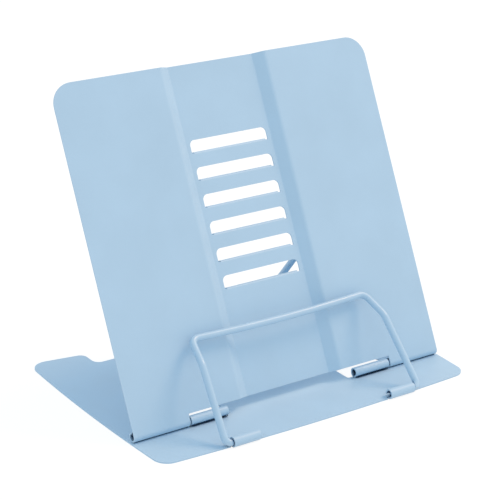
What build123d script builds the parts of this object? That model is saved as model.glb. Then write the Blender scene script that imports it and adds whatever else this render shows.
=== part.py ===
from build123d import *
import math
import os

os.makedirs("parts", exist_ok=True)

# Book stand: a steel base plate, a tilting back panel on two hinge pins,
# a wire page holder in front and a wire prop behind.
# Millimetres. X runs to the right, Y to the back, Z up, with z = 0 on the table.

# Sheet metal, and how far a cut at an edge runs past it
sheet = 0.8
bend_inner = 0.6
overrun = 10.0

# Base plate: its sides and front edge bulge outward a little, and a tab at each rear
# corner reaches back past the middle
base_width = 205.4
side_crown = 2.2
front_crown = 3.0
middle_depth = 122.8
base_corner_radius = 8.5
corner_tab_width = 32.1
corner_tab_reach = 13.7
corner_tab_slant = 5.2
recess_radius = 4.5

# Hinge between the base plate and the back panel
hinge_depth = 31.29
hinge_lift = 0.2
pin_diameter = 3.5
hinge_fit = 0.08
pin_outer_recess = 5.0
pin_inner_recess = 3.0
pin_chamfer = 0.3
wing_width = 34.05
barrel_length = 23.1
barrel_end_gap = 1.0
barrel_end_angle = 250.0
window_side_gap = 3.3
window_setback = 0.8
window_depth = 12.2
window_radius = 1.0
barrel_relief_width = 0.5
barrel_relief_depth = 0.4
panel_curl_angle = 285.0

# Back panel
panel_side_gap = 1.8
panel_height = 184.2
panel_tilt = 63.5
panel_top_radius = 12.0
panel_edge_height = 3.9
panel_notch_radius = 0.8
channel_half_width = 27.5
channel_mouth_half_width = 33.7
channel_depth = 4.0
channel_floor_bend = 1.0
channel_mouth_bend = 3.0

# Height slots with a hook tab below each one
slot_count = 6
slots_below_hook_count = 1
slot_side_gap = 2.6
slot_height = 6.33
slot_pitch = 14.9
lowest_slot = 62.6
slot_radius = 3.0
relief_width = 1.6
relief_depth = 0.8
tab_radius = 2.5

# Wires and the curls that hold their feet
wire_diameter = 3.8
wire_fit = 0.1
curl_length = 16.3
curl_angle = 285.0
curl_relief_width = 0.8
curl_relief_depth = 0.9

# Page holder
holder_depth = 1.0
holder_curl_inset = 43.2
holder_foot_recess = 1.8
holder_foot_reach = 3.9
holder_foot_bend = 3.3
holder_kink_inset = 3.3
holder_kink_reach = 27.8
holder_kink_rise = 32.9
holder_kink_bend = 12.0
holder_top_inset = 6.2
holder_top_along = 41.05
holder_panel_gap = 2.0
holder_top_bend = 4.6
holder_bow = 2.6
bow_run_share = 0.75

# Prop
prop_edge_gap = 0.4
prop_curl_start = 16.3
prop_foot_recess = 1.7
prop_foot_reach = 3.3
prop_foot_bend = 3.3
prop_top_inset = 3.2
prop_top_bend = 6.5
prop_hook_gap = 0.25

# Derived sizes
wire_radius = wire_diameter / 2
pin_radius = pin_diameter / 2
curl_inner = wire_radius + wire_fit
curl_middle = curl_inner + sheet / 2
curl_outer = curl_inner + sheet
hinge_inner = pin_radius + hinge_fit
hinge_middle = hinge_inner + sheet / 2
hinge_outer = hinge_inner + sheet
hinge_z = sheet + hinge_lift + hinge_outer
wire_z = curl_outer
base_half = base_width / 2
side_half = base_half - side_crown
recess_half_width = side_half - corner_tab_width
corner_inner_depth = middle_depth + corner_tab_reach
corner_depth = corner_inner_depth + corner_tab_slant
window_front = hinge_depth + window_setback
window_rear = window_front + window_depth
panel_half = base_half - panel_side_gap
tilt = math.radians(panel_tilt)
tilt_cos = math.cos(tilt)
tilt_sin = math.sin(tilt)

# Depths are measured from the middle of the front edge. The origin lies midway between
# the front of the curls and the rearmost point of the plate, on the corner arc.
rear_slope = corner_tab_slant / corner_tab_width
rear_slope_length = math.hypot(1, rear_slope)
rear_reach = corner_depth - base_corner_radius * (rear_slope + rear_slope_length - 1)
front_y = (curl_outer - holder_depth - rear_reach) / 2
hinge_y = front_y + hinge_depth
holder_y = front_y + holder_depth
prop_y = front_y + middle_depth + prop_edge_gap

# Panel coordinates: "along" climbs the panel from the hinge axis, and "behind" runs
# backward from the front face of the wings.
panel_origin = Vector(
    0,
    hinge_y - hinge_outer * tilt_sin,
    hinge_z + hinge_outer * tilt_cos,
)
up_panel = Vector(0, tilt_cos, tilt_sin)
behind_panel = Vector(0, tilt_sin, -tilt_cos)


def panel_point(across, along, behind):
    """A point given in panel coordinates."""
    return panel_origin + Vector(across, 0, 0) + up_panel * along + behind_panel * behind


# Local x runs across and local y runs up the panel, on the front face of the wings.
panel_face = Plane(origin=panel_origin, x_dir=(1, 0, 0), z_dir=behind_panel * -1)
# Local x runs across and local y runs backward, level with the hinge axis.
panel_section = Plane(origin=panel_origin, x_dir=(1, 0, 0), z_dir=up_panel)


def side_plane(x, y, z):
    """A plane across the object: local x runs backward and local y runs up."""
    return Plane(origin=(x, y, z), x_dir=(0, 1, 0), z_dir=(1, 0, 0))


def panel_side_plane(x):
    """A plane across the panel: local x climbs it and local y runs forward."""
    return Plane(origin=panel_origin + Vector(x, 0, 0), x_dir=up_panel, z_dir=(1, 0, 0))


def wire_path(points, bends):
    """Straight runs through the points, joined by tangent arcs of the given radii."""
    start = points[0]
    for here, before, after, bend in zip(points[1:-1], points[:-2], points[2:], bends):
        incoming = (here - before).normalized()
        outgoing = (after - here).normalized()
        half_turn = math.acos(max(-1.0, min(1.0, incoming.dot(outgoing)))) / 2
        setback = bend * math.tan(half_turn)
        arc_start = here - incoming * setback
        arc_end = here + outgoing * setback
        inward = (outgoing - incoming).normalized()
        centre = here + inward * (bend / math.cos(half_turn))
        Line(start, arc_start)
        ThreePointArc(arc_start, centre - inward * bend, arc_end)
        start = arc_end
    Line(start, points[-1])


# Positions along X, from the sides inward
wing_inner = panel_half - wing_width
barrel_outer_end = wing_inner - barrel_end_gap
barrel_inner_end = barrel_outer_end - barrel_length
window_inner = barrel_inner_end - window_side_gap
window_outer = barrel_outer_end + window_side_gap
pin_inner_end = barrel_inner_end + pin_inner_recess
pin_length = panel_half - pin_outer_recess - pin_inner_end
holder_curl_end = base_half - holder_curl_inset
holder_curl_start = holder_curl_end - curl_length
prop_curl_end = prop_curl_start + curl_length

# The hinge tongue runs flat under the pin, turns up behind it and rolls over the top.
tongue_bend = hinge_z - sheet / 2
tongue_bend_y = hinge_middle - tongue_bend

with BuildPart() as base_plate:
    with BuildSketch(Plane(origin=(0, front_y, 0))) as base_outline:
        with BuildLine():
            ThreePointArc((-side_half, front_crown), (0, 0), (side_half, front_crown))
            ThreePointArc(
                (side_half, front_crown),
                (base_half, (front_crown + corner_depth) / 2),
                (side_half, corner_depth),
            )
            Polyline(
                (side_half, corner_depth),
                (recess_half_width, corner_inner_depth),
                (recess_half_width, middle_depth),
                (-recess_half_width, middle_depth),
                (-recess_half_width, corner_inner_depth),
                (-side_half, corner_depth),
            )
            ThreePointArc(
                (-side_half, corner_depth),
                (-base_half, (front_crown + corner_depth) / 2),
                (-side_half, front_crown),
            )
        make_face()
        across = base_outline.vertices().sort_by(Axis.X)
        fillet(across[:2] + across[-2:], radius=base_corner_radius)
        across = base_outline.vertices().sort_by(Axis.X)
        fillet([v for v in across if abs(abs(v.X) - recess_half_width) < sheet], radius=recess_radius)
    extrude(amount=sheet)
    for side in (-1, 1):
        # Window round the hinge barrel
        with BuildSketch(Plane(origin=(0, front_y, 0))):
            with BuildLine():
                FilletPolyline(
                    (side * window_inner, window_front),
                    (side * window_outer, window_front),
                    (side * window_outer, window_rear),
                    (side * window_inner, window_rear),
                    radius=window_radius,
                    close=True,
                )
            make_face()
        extrude(amount=sheet, mode=Mode.SUBTRACT)
        # Hinge barrel rolled from a tongue at the front edge of the window, with relief cuts
        with BuildSketch(Plane(origin=(side * (barrel_inner_end + barrel_length / 2), hinge_y, 0))):
            with Locations((0, tongue_bend_y - barrel_relief_depth)):
                Rectangle(
                    barrel_length + barrel_relief_width * 2,
                    window_depth,
                    align=(Align.CENTER, Align.MIN),
                )
        extrude(amount=sheet, mode=Mode.SUBTRACT)
        with BuildSketch(side_plane(side * barrel_inner_end, hinge_y, hinge_z)):
            with BuildLine():
                Line((tongue_bend_y - barrel_relief_depth - sheet, -tongue_bend), (tongue_bend_y, -tongue_bend))
                CenterArc((tongue_bend_y, 0), tongue_bend, -90, 90)
                CenterArc((0, 0), hinge_middle, 0, barrel_end_angle)
            trace(line_width=sheet)
        extrude(amount=side * barrel_length)
        # Front curl for a foot of the page holder, freed from the plate by relief cuts
        with BuildSketch(Plane(origin=(side * (holder_curl_start + curl_length / 2), front_y, 0))):
            with Locations((0, holder_depth + curl_relief_depth)):
                Rectangle(
                    curl_length + curl_relief_width * 2,
                    overrun,
                    align=(Align.CENTER, Align.MAX),
                )
        extrude(amount=sheet, mode=Mode.SUBTRACT)
        with BuildSketch(side_plane(side * holder_curl_start, holder_y, wire_z)):
            with BuildLine():
                Line((curl_relief_depth + sheet, -curl_middle), (0, -curl_middle))
                CenterArc((0, 0), curl_middle, -90, -curl_angle)
            trace(line_width=sheet)
        extrude(amount=side * curl_length)
        # Rear curl for a foot of the prop
        with BuildSketch(Plane(origin=(side * (prop_curl_start + curl_length / 2), front_y, 0))):
            with Locations((0, middle_depth + prop_edge_gap - curl_relief_depth)):
                Rectangle(
                    curl_length + curl_relief_width * 2,
                    overrun,
                    align=(Align.CENTER, Align.MIN),
                )
        extrude(amount=sheet, mode=Mode.SUBTRACT)
        with BuildSketch(side_plane(side * prop_curl_start, prop_y, wire_z)):
            with BuildLine():
                Line((-curl_relief_depth - sheet, -curl_middle), (0, -curl_middle))
                CenterArc((0, 0), curl_middle, -90, curl_angle)
            trace(line_width=sheet)
        extrude(amount=side * curl_length)
base_plate.part.label = "base_plate"
export_step(base_plate.part, "parts/base_plate.step")

panel_middle = sheet / 2
channel_middle = channel_depth + sheet / 2
bend_middle = bend_inner + sheet / 2
slot_half_width = channel_half_width - slot_side_gap
tab_half = slot_half_width - relief_width
tab_start = channel_depth + sheet + bend_inner
tab_end = channel_middle + slot_height

with BuildPart() as back_panel:
    # Cross-section of the bent sheet, one half, then trimmed to the outline
    with BuildSketch(panel_section):
        with BuildLine():
            FilletPolyline(
                (0, channel_middle),
                (channel_half_width, channel_middle),
                (channel_mouth_half_width, panel_middle),
                (panel_half, panel_middle),
                radius=[channel_floor_bend + sheet / 2, channel_mouth_bend + sheet / 2],
            )
        trace(line_width=sheet)
    extrude(amount=panel_height)
    with BuildSketch(panel_face):
        with BuildLine():
            FilletPolyline(
                (0, panel_edge_height),
                (wing_inner, panel_edge_height),
                (wing_inner, 0),
                (panel_half, 0),
                (panel_half, panel_height),
                (0, panel_height),
                radius=[panel_notch_radius, 0, 0, panel_top_radius],
            )
            Line((0, panel_height), (0, panel_edge_height))
        make_face()
    extrude(amount=-channel_depth - sheet, mode=Mode.INTERSECT)
    # Wing edge rolled backward round the hinge pin
    with BuildSketch(panel_side_plane(wing_inner)):
        with BuildLine():
            Line((sheet, -panel_middle), (0, -panel_middle))
            CenterArc((0, -hinge_outer), hinge_middle, 90, panel_curl_angle)
        trace(line_width=sheet)
    extrude(amount=wing_width)
    # Height slots, each lanced on three sides with its tab bent backward
    for slot in range(slot_count):
        bottom = lowest_slot + slot * slot_pitch
        with BuildSketch(panel_face):
            with BuildLine():
                FilletPolyline(
                    (0, bottom - relief_depth),
                    (slot_half_width, bottom - relief_depth),
                    (slot_half_width, bottom + slot_height),
                    (0, bottom + slot_height),
                    radius=[0, slot_radius],
                )
                Line((0, bottom + slot_height), (0, bottom - relief_depth))
            make_face()
            with Locations((0, bottom - sheet - bend_inner)):
                Rectangle(tab_half, sheet + bend_inner, align=(Align.MIN, Align.MIN))
        extrude(amount=-channel_depth - sheet, mode=Mode.SUBTRACT)
        with BuildSketch(panel_side_plane(0)):
            with BuildLine():
                CenterArc((bottom - sheet - bend_inner, -tab_start), bend_middle, 90, -90)
            trace(line_width=sheet)
        extrude(amount=tab_half)
        with BuildSketch(panel_section.offset(bottom - sheet)):
            with BuildLine():
                FilletPolyline(
                    (0, tab_start),
                    (tab_half, tab_start),
                    (tab_half, tab_end),
                    (0, tab_end),
                    radius=[0, tab_radius],
                )
                Line((0, tab_end), (0, tab_start))
            make_face()
        extrude(amount=sheet)
    mirror(about=Plane.YZ)
back_panel.part.label = "back_panel"
export_step(back_panel.part, "parts/back_panel.step")

with BuildPart() as hinge_pin_left:
    with BuildSketch(side_plane(-pin_inner_end - pin_length, hinge_y, hinge_z)):
        Circle(pin_radius)
    extrude(amount=pin_length)
    chamfer(hinge_pin_left.edges().filter_by(GeomType.CIRCLE), length=pin_chamfer)
hinge_pin_left.part.label = "hinge_pin_left"
export_step(hinge_pin_left.part, "parts/hinge_pin_left.step")

with BuildPart() as hinge_pin_right:
    with BuildSketch(side_plane(pin_inner_end, hinge_y, hinge_z)):
        Circle(pin_radius)
    extrude(amount=pin_length)
    chamfer(hinge_pin_right.edges().filter_by(GeomType.CIRCLE), length=pin_chamfer)
hinge_pin_right.part.label = "hinge_pin_right"
export_step(hinge_pin_right.part, "parts/hinge_pin_right.step")

# Page holder: feet in the front curls, legs that bend to lie against the panel,
# and a top bar that sags a little towards the feet.
holder_foot_end = holder_curl_start + holder_foot_recess
holder_foot_corner = holder_curl_end + holder_foot_reach
holder_kink_half_width = holder_foot_corner - holder_kink_inset
holder_top_half_width = holder_foot_corner - holder_top_inset
kink_y = holder_y + holder_kink_reach
kink_z = wire_z + holder_kink_rise
holder_top = panel_point(0, holder_top_along, -holder_panel_gap - wire_radius)
holder_sag = Vector(0, kink_y - holder_top.Y, kink_z - holder_top.Z).normalized() * holder_bow
holder_bow_bend = bow_run_share * holder_top_half_width**2 / holder_bow
holder_points = [
    Vector(-holder_foot_end, holder_y, wire_z),
    Vector(-holder_foot_corner, holder_y, wire_z),
    Vector(-holder_kink_half_width, kink_y, kink_z),
    Vector(-holder_top_half_width, holder_top.Y, holder_top.Z),
    holder_top + holder_sag,
    Vector(holder_top_half_width, holder_top.Y, holder_top.Z),
    Vector(holder_kink_half_width, kink_y, kink_z),
    Vector(holder_foot_corner, holder_y, wire_z),
    Vector(holder_foot_end, holder_y, wire_z),
]
holder_bends = [
    holder_foot_bend,
    holder_kink_bend,
    holder_top_bend,
    holder_bow_bend,
    holder_top_bend,
    holder_kink_bend,
    holder_foot_bend,
]

with BuildPart() as page_holder:
    with BuildLine() as holder_line:
        wire_path(holder_points, holder_bends)
    with BuildSketch(Plane(origin=holder_points[0], z_dir=(-1, 0, 0))):
        Circle(wire_radius)
    sweep(path=holder_line.wire())
page_holder.part.label = "page_holder"
export_step(page_holder.part, "parts/page_holder.step")

# Prop: feet in the rear curls, top bar just under the tab of the slot in use
prop_foot_end = prop_curl_start + prop_foot_recess
prop_foot_corner = prop_curl_end + prop_foot_reach
prop_top_half_width = prop_foot_corner - prop_top_inset
hook_slot_bottom = lowest_slot + slots_below_hook_count * slot_pitch
hook_along = hook_slot_bottom - sheet - prop_hook_gap - wire_radius
hook_behind = channel_depth + sheet + prop_hook_gap + wire_radius
prop_top = panel_point(0, hook_along, hook_behind)
prop_points = [
    Vector(-prop_foot_end, prop_y, wire_z),
    Vector(-prop_foot_corner, prop_y, wire_z),
    Vector(-prop_top_half_width, prop_top.Y, prop_top.Z),
    Vector(prop_top_half_width, prop_top.Y, prop_top.Z),
    Vector(prop_foot_corner, prop_y, wire_z),
    Vector(prop_foot_end, prop_y, wire_z),
]
prop_bends = [prop_foot_bend, prop_top_bend, prop_top_bend, prop_foot_bend]

with BuildPart() as prop_wire:
    with BuildLine() as prop_line:
        wire_path(prop_points, prop_bends)
    with BuildSketch(Plane(origin=prop_points[0], z_dir=(-1, 0, 0))):
        Circle(wire_radius)
    sweep(path=prop_line.wire())
prop_wire.part.label = "prop_wire"
export_step(prop_wire.part, "parts/prop_wire.step")

print("hinge", round(hinge_y, 5), round(hinge_z, 5))
print("holder", round(holder_y, 5), round(wire_z, 5))
print("prop", round(prop_y, 5), round(wire_z, 5))
print("tops", holder_top, prop_top)
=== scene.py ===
import math

import bpy
from mathutils import Matrix, Vector

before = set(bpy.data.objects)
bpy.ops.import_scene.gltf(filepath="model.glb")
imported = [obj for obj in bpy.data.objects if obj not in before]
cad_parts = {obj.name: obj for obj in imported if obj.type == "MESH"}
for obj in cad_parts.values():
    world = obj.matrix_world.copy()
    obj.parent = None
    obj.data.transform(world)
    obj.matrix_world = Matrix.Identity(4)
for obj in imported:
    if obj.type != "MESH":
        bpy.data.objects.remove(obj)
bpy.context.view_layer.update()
scene = bpy.context.scene

# Lengths are in metres and colours are linear, unless a name says otherwise.

# Camera: yaw turns the look from +Y towards +X, pitch looks down, roll turns the picture.
YAW = math.radians(35.55)
PITCH = math.radians(21.55)
ROLL = math.radians(1.37)
EYE = Vector((-0.51848, -0.72172, 0.42356))
FOCAL_PX = 1762.3
PICTURE_PX = 500.0
SENSOR_MM = 36.0
CLIP_NEAR = 0.05
CLIP_FAR = 20.0

# Coat colours: the coat's own; painted shade in a shallow crevice and deep in one; and paler on an
# edge, partly worn thin and partly a painted edge highlight
COAT = (0.464, 0.650, 0.804)
SHALLOW_PAINTED_SHADE = (0.012, 0.14, 0.34)
DEEP_PAINTED_SHADE = (0.0, 0.010, 0.046)
WORN_AND_HIGHLIGHT = (0.62, 0.74, 0.85)
COAT_IOR = 1.5

# Mottling: clouds per metre, the noise values taken as its two ends, and how bright the
# coat is at them
MOTTLE_SCALE = 35.0
MOTTLE_DETAIL = 4.0
MOTTLE_ENDS = (0.3, 0.7)
MOTTLE_BRIGHTNESS = (0.975, 1.02)

# Roughness at the mottling's two ends, and what a worn edge or a full crevice adds
SHEET_ROUGHNESS = (0.40, 0.50)
WIRE_ROUGHNESS = (0.22, 0.30)
PIN_ROUGHNESS = (0.38, 0.50)
WORN_ROUGHNESS = 0.08
CREVICE_ROUGHNESS = 0.5

# Orange peel: bumps per metre on each kind of piece, and their height
BASE_GRAIN = 1300.0
PANEL_GRAIN = 1500.0
WIRE_GRAIN = 1800.0
PIN_GRAIN = 2200.0
PEEL_DETAIL = 2.0
PEEL_HEIGHT = 0.00002
PEEL_STRENGTH = 0.35

# Paler edges, partly wear and partly a painted edge highlight: the radius that counts as an edge,
# and the cosine between the true and the rounded normal where the paleness starts and where it is
# full
EDGE_RADIUS = 0.0005
EDGE_COSINES = (0.98, 0.80)
EDGE_SAMPLES = 6

# Specks that break the paler edges up: how much finer than the peel, the noise values taken as
# their two ends, and the edges' paleness at them
SPECK_FINENESS = 2.5
SPECK_DETAIL = 1.0
SPECK_ENDS = (0.42, 0.62)
SPECK_WEAR_AND_HIGHLIGHT = (0.25, 0.7)

# Painted shade in crevices: how far its darkness reaches, and the share of the sky still open
# where it starts and where it is full. A seam lies between pieces, a bore within one piece.
SHEET_SEAM_SHADE = (0.0012, 0.34, 0.06)
WIRE_SEAM_SHADE = (0.0018, 0.94, 0.66)
PIN_SEAM_SHADE = (0.006, 0.60, 0.30)
BORE_SHADE = (0.005, 0.53, 0.28)
OPENNESS_SAMPLES = 8

# How deep in a crevice, from 0 to 1, the shallow painted shade is full and the deep one starts
SHADE_FULL = 0.5

# Light, floor and backdrop
KEY_PLACE = Vector((2.16, -0.38, 2.66))
KEY_TARGET = Vector((0.0, 0.0, 0.05))
KEY_SIZE = 1.44
KEY_WATTS = 50.0
KEY_COLOR = (1.0, 0.65, 0.425)
SKY_STRENGTH = 0.86
SKY_COLOR = (0.762, 0.891, 1.0)
BACKDROP_COLOR = (1.0, 1.0, 1.0)
FLOOR_SIZE = 8.0
FLOOR_COLOR = (0.9, 0.9, 0.9, 1.0)
FLOOR_GLOW_COLOR = (1.0, 1.0, 1.0, 1.0)
FLOOR_GLOW = 1.1
FLOOR_GLOW_SHARE = 0.8

# The Mix node's colour sockets by place, because several of its sockets share a name
MIX_COLOR_INPUTS = (6, 7)
MIX_COLOR_OUTPUT = 2


def camera():
    """A pinhole camera where the photograph was taken from."""
    look = Vector(
        (
            math.sin(YAW) * math.cos(PITCH),
            math.cos(YAW) * math.cos(PITCH),
            -math.sin(PITCH),
        )
    )
    right = Vector((math.cos(YAW), -math.sin(YAW), 0))
    up = right.cross(look)
    rolled_right = right * math.cos(ROLL) + up * math.sin(ROLL)
    rolled_up = up * math.cos(ROLL) - right * math.sin(ROLL)
    data = bpy.data.cameras.new("camera")
    data.sensor_width = SENSOR_MM
    data.sensor_fit = "HORIZONTAL"
    data.lens = FOCAL_PX / PICTURE_PX * SENSOR_MM
    data.dof.use_dof = False
    data.clip_start = CLIP_NEAR
    data.clip_end = CLIP_FAR
    eye = bpy.data.objects.new("camera", data)
    scene.collection.objects.link(eye)
    eye.matrix_world = Matrix(
        (
            (rolled_right.x, rolled_up.x, -look.x, EYE.x),
            (rolled_right.y, rolled_up.y, -look.y, EYE.y),
            (rolled_right.z, rolled_up.z, -look.z, EYE.z),
            (0, 0, 0, 1),
        )
    )
    scene.camera = eye


class Graph:
    """A node tree with short helpers."""

    def __init__(self, tree):
        self.tree = tree
        self.tree.nodes.clear()

    def add(self, kind, values=None, **settings):
        """A new node with its attributes and unlinked inputs set."""
        node = self.tree.nodes.new(kind)
        for key, value in settings.items():
            setattr(node, key, value)
        for key, value in (values or {}).items():
            node.inputs[key].default_value = value
        return node

    def link(self, source, target):
        self.tree.links.new(source, target)

    def math(self, operation, first, second, clamp=False):
        """A math node; each operand is a socket or a number."""
        node = self.add("ShaderNodeMath", operation=operation, use_clamp=clamp)
        for index, value in enumerate((first, second)):
            if isinstance(value, (int, float)):
                node.inputs[index].default_value = value
            else:
                self.link(value, node.inputs[index])
        return node.outputs["Value"]

    def remap(self, source, ends, targets=(0.0, 1.0)):
        """Move a value from between two ends to between two targets, and hold it there."""
        node = self.add(
            "ShaderNodeMapRange",
            {"From Min": ends[0], "From Max": ends[1], "To Min": targets[0], "To Max": targets[1]},
        )
        self.link(source, node.inputs["Value"])
        return node.outputs["Result"]

    def mix(self, factor, first, second, blend="MIX"):
        """Mix two colours; each is a socket or a colour."""
        node = self.add("ShaderNodeMix", data_type="RGBA", blend_type=blend)
        if isinstance(factor, (int, float)):
            node.inputs["Factor"].default_value = factor
        else:
            self.link(factor, node.inputs["Factor"])
        for index, value in zip(MIX_COLOR_INPUTS, (first, second)):
            if isinstance(value, tuple):
                node.inputs[index].default_value = (*value, 1.0)
            else:
                self.link(value, node.inputs[index])
        return node.outputs[MIX_COLOR_OUTPUT]

    def noise(self, scale, detail):
        """Noise fixed to the piece, with the scale per metre."""
        node = self.add("ShaderNodeTexNoise", {"Scale": scale, "Detail": detail})
        self.link(self.add("ShaderNodeTexCoord").outputs["Object"], node.inputs["Vector"])
        return node.outputs["Fac"]


def material(name):
    made = bpy.data.materials.new(name)
    made.use_nodes = True
    return made


def edge_wear_and_highlight(g, grain):
    """0 on plain surfaces, up to the specks' amount where an edge turns the rounded normal; it
    pales edges, partly as wear and partly as a painted edge highlight.
    """
    rounded = g.add("ShaderNodeBevel", {"Radius": EDGE_RADIUS}, samples=EDGE_SAMPLES)
    surface = g.add("ShaderNodeNewGeometry")
    cosine = g.add("ShaderNodeVectorMath", operation="DOT_PRODUCT")
    g.link(rounded.outputs["Normal"], cosine.inputs[0])
    g.link(surface.outputs["Normal"], cosine.inputs[1])
    edge = g.remap(cosine.outputs["Value"], EDGE_COSINES)
    specks = g.noise(grain * SPECK_FINENESS, SPECK_DETAIL)
    return g.math("MULTIPLY", edge, g.remap(specks, SPECK_ENDS, SPECK_WEAR_AND_HIGHLIGHT), clamp=True)


def closed_in(g, crevice, own_only):
    """0 in the open, 1 where the surfaces in reach, or only the piece's own, close in; the mask
    for the painted shade in crevices.
    """
    reach, start, full = crevice
    openness = g.add(
        "ShaderNodeAmbientOcclusion",
        {"Distance": reach},
        samples=OPENNESS_SAMPLES,
        only_local=own_only,
    )
    return g.remap(openness.outputs["AO"], (start, full))


def powder_coat(name, grain, roughness, seam_shade):
    """Satin powder coat: orange peel, slight mottling, painted shade in crevices, and paler edges,
    partly wear and partly a painted edge highlight.
    """
    made = material(name)
    g = Graph(made.node_tree)
    out = g.add("ShaderNodeOutputMaterial")
    shader = g.add("ShaderNodeBsdfPrincipled", {"IOR": COAT_IOR})
    g.link(shader.outputs["BSDF"], out.inputs["Surface"])

    mottle = g.noise(MOTTLE_SCALE, MOTTLE_DETAIL)
    wear_and_highlight = edge_wear_and_highlight(g, grain)
    # Painted shade: the coat darkens where surfaces close in, in seams between pieces and in bores
    shade_depth = g.math("MAXIMUM", closed_in(g, seam_shade, False), closed_in(g, BORE_SHADE, True))

    color = g.mix(1.0, COAT, g.remap(mottle, MOTTLE_ENDS, MOTTLE_BRIGHTNESS), blend="MULTIPLY")
    # Paler edges: partly wear, partly a painted edge highlight
    color = g.mix(wear_and_highlight, color, WORN_AND_HIGHLIGHT)
    # Painted shade in crevices: blue where shallow, near black where deep
    color = g.mix(g.remap(shade_depth, (0.0, SHADE_FULL)), color, SHALLOW_PAINTED_SHADE)
    color = g.mix(g.remap(shade_depth, (SHADE_FULL, 1.0)), color, DEEP_PAINTED_SHADE)
    g.link(color, shader.inputs["Base Color"])

    rough = g.remap(mottle, MOTTLE_ENDS, roughness)
    rough = g.math("ADD", rough, g.math("MULTIPLY", wear_and_highlight, WORN_ROUGHNESS))
    rough = g.math("ADD", rough, g.math("MULTIPLY", shade_depth, CREVICE_ROUGHNESS))
    g.link(rough, shader.inputs["Roughness"])

    bump = g.add("ShaderNodeBump", {"Strength": PEEL_STRENGTH, "Distance": PEEL_HEIGHT})
    g.link(g.noise(grain, PEEL_DETAIL), bump.inputs["Height"])
    g.link(bump.outputs["Normal"], shader.inputs["Normal"])
    return made


def coat_all():
    """Each CAD piece keeps its shape and gets its coat."""
    base = powder_coat("base_coat", BASE_GRAIN, SHEET_ROUGHNESS, SHEET_SEAM_SHADE)
    panel = powder_coat("panel_coat", PANEL_GRAIN, SHEET_ROUGHNESS, SHEET_SEAM_SHADE)
    wire = powder_coat("wire_coat", WIRE_GRAIN, WIRE_ROUGHNESS, WIRE_SEAM_SHADE)
    pin = powder_coat("pin_coat", PIN_GRAIN, PIN_ROUGHNESS, PIN_SEAM_SHADE)
    coats = {
        "base_plate": base,
        "back_panel": panel,
        "page_holder": wire,
        "prop_wire": wire,
        "hinge_pin_left": pin,
        "hinge_pin_right": pin,
    }
    for name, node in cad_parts.items():
        node.data.materials.clear()
        node.data.materials.append(coats[name])


def seen_directly(g):
    """1 on camera, glossy and transmission rays, else 0."""
    path = g.add("ShaderNodeLightPath")
    seen = g.math("MAXIMUM", path.outputs["Is Camera Ray"], path.outputs["Is Glossy Ray"])
    return g.math("MAXIMUM", seen, path.outputs["Is Transmission Ray"])


def floor():
    """A white floor that keeps a faint shadow."""
    made = material("floor")
    g = Graph(made.node_tree)
    out = g.add("ShaderNodeOutputMaterial")
    matte = g.add("ShaderNodeBsdfDiffuse", {"Color": FLOOR_COLOR})
    glow = g.add("ShaderNodeEmission", {"Color": FLOOR_GLOW_COLOR, "Strength": FLOOR_GLOW})
    blend = g.add("ShaderNodeMixShader")
    g.link(g.math("MULTIPLY", seen_directly(g), FLOOR_GLOW_SHARE), blend.inputs["Fac"])
    g.link(matte.outputs["BSDF"], blend.inputs[1])
    g.link(glow.outputs["Emission"], blend.inputs[2])
    g.link(blend.outputs["Shader"], out.inputs["Surface"])
    bpy.ops.mesh.primitive_plane_add(size=FLOOR_SIZE, location=(0, 0, 0))
    plane = bpy.context.object
    plane.name = "floor"
    plane.data.materials.append(made)


def key_light():
    """One large, warm lamp, high on the right."""
    data = bpy.data.lights.new("key", "AREA")
    data.shape = "DISK"
    data.size = KEY_SIZE
    data.energy = KEY_WATTS
    data.color = KEY_COLOR
    lamp = bpy.data.objects.new("key", data)
    scene.collection.objects.link(lamp)
    lamp.location = KEY_PLACE
    lamp.rotation_euler = (KEY_TARGET - KEY_PLACE).to_track_quat("-Z", "Y").to_euler()


def surroundings():
    """Even, slightly cool light, and a white backdrop where it is seen directly."""
    world = bpy.data.worlds.new("world")
    scene.world = world
    world.use_nodes = True
    g = Graph(world.node_tree)
    out = g.add("ShaderNodeOutputWorld")
    sky = g.add("ShaderNodeBackground")
    seen = seen_directly(g)
    g.link(g.mix(seen, SKY_COLOR, BACKDROP_COLOR), sky.inputs["Color"])
    g.link(g.math("MAXIMUM", seen, SKY_STRENGTH), sky.inputs["Strength"])
    g.link(sky.outputs["Background"], out.inputs["Surface"])


camera()
coat_all()
floor()
key_light()
surroundings()
scene.view_settings.view_transform = "Standard"
